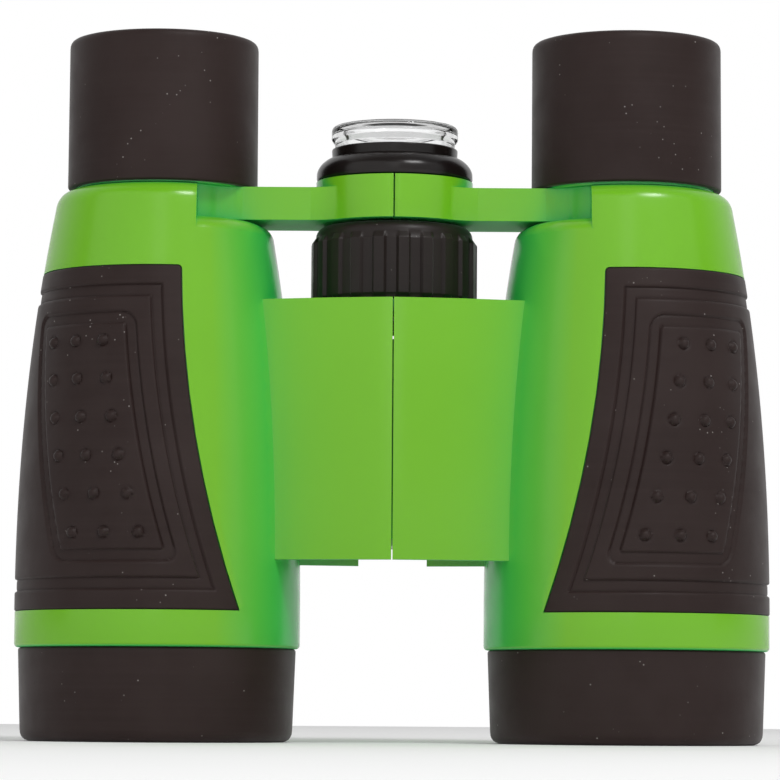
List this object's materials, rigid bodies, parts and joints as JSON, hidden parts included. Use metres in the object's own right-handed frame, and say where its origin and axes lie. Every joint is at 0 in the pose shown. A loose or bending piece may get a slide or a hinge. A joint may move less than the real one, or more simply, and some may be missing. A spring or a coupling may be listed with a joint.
{
  "type": "binoculars",
  "caption": "Small straight-barrel binoculars with rubber grips and eyecups, a folding centre hinge, a ribbed focus wheel and a compass on the hub.",
  "frame": {"origin": "on the hinge axis, at the level of the objective rims that it stands on", "axes": "+Z along the optical axes towards the eyepieces, +Y to the open back of the hinge box, +X to the right barrel seen from the front"},
  "size_m": [0.1154, 0.0436, 0.108],
  "materials": {
    "green_plastic": "glossy moulded plastic",
    "black_rubber": "matt soft-touch rubber",
    "wheel_plastic": "matt",
    "gloss_black": "glossy",
    "matt_black": "matt, against stray light",
    "lens_glass": "polished",
    "clear_plastic": "polished clear plastic",
    "steel": "turned",
    "brass": "turned",
    "dial_card": "printed card",
    "needle_paint": "painted red and white"
  },
  "bodies": {
    "left_barrel": {"left_barrel": "green_plastic", "left_grip": "black_rubber", "left_objective_ring": "black_rubber", "left_objective_lens": "lens_glass", "left_lens_retainer": "matt_black", "left_field_stop": "matt_black", "hinge_pin": "steel", "hinge_screw": "steel"},
    "right_barrel": {"right_barrel": "green_plastic", "right_grip": "black_rubber", "right_objective_ring": "black_rubber", "right_objective_lens": "lens_glass", "right_lens_retainer": "matt_black", "right_field_stop": "matt_black"},
    "focus_wheel": {"focus_wheel": "wheel_plastic", "wheel_clip": "steel"},
    "left_eyepiece": {"left_arm": "green_plastic", "left_eyecup": "black_rubber", "left_eye_lens": "lens_glass", "left_eye_lens_ring": "matt_black", "focus_screw": "steel", "screw_nut": "steel", "compass_foot": "gloss_black", "compass_bowl": "gloss_black", "compass_dial": "dial_card", "compass_pivot": "brass", "compass_cover": "clear_plastic"},
    "right_eyepiece": {"right_arm": "green_plastic", "right_eyecup": "black_rubber", "right_eye_lens": "lens_glass", "right_eye_lens_ring": "matt_black"},
    "compass_needle": {"compass_needle": "needle_paint"}
  },
  "joints": [
    {"name": "fold", "type": "hinge", "parent": "left_barrel", "child": "right_barrel", "pos_m": [0, 0, 0.0472], "axis": [0, 0, 1], "range_deg": [0, 36]},
    {"name": "focus_turn", "type": "hinge", "parent": "left_barrel", "child": "focus_wheel", "pos_m": [0, 0, 0.074], "axis": [0, 0, 1], "range_deg": [0, 540]},
    {"name": "left_focus_slide", "type": "slide", "parent": "left_barrel", "child": "left_eyepiece", "axis": [0, 0, 1], "range_m": [0, 0.006]},
    {"name": "right_focus_slide", "type": "slide", "parent": "right_barrel", "child": "right_eyepiece", "axis": [0, 0, 1], "range_m": [0, 0.006]},
    {"name": "needle_turn", "type": "hinge", "parent": "left_eyepiece", "child": "compass_needle", "pos_m": [0, 0, 0.09], "axis": [0, 0, 1], "continuous": true}
  ],
  "couplings": [
    {"joint": "focus_turn", "follows": "left_focus_slide", "rad_per_m": 1570.8},
    {"joint": "right_focus_slide", "follows": "left_focus_slide", "ratio": 1}
  ]
}
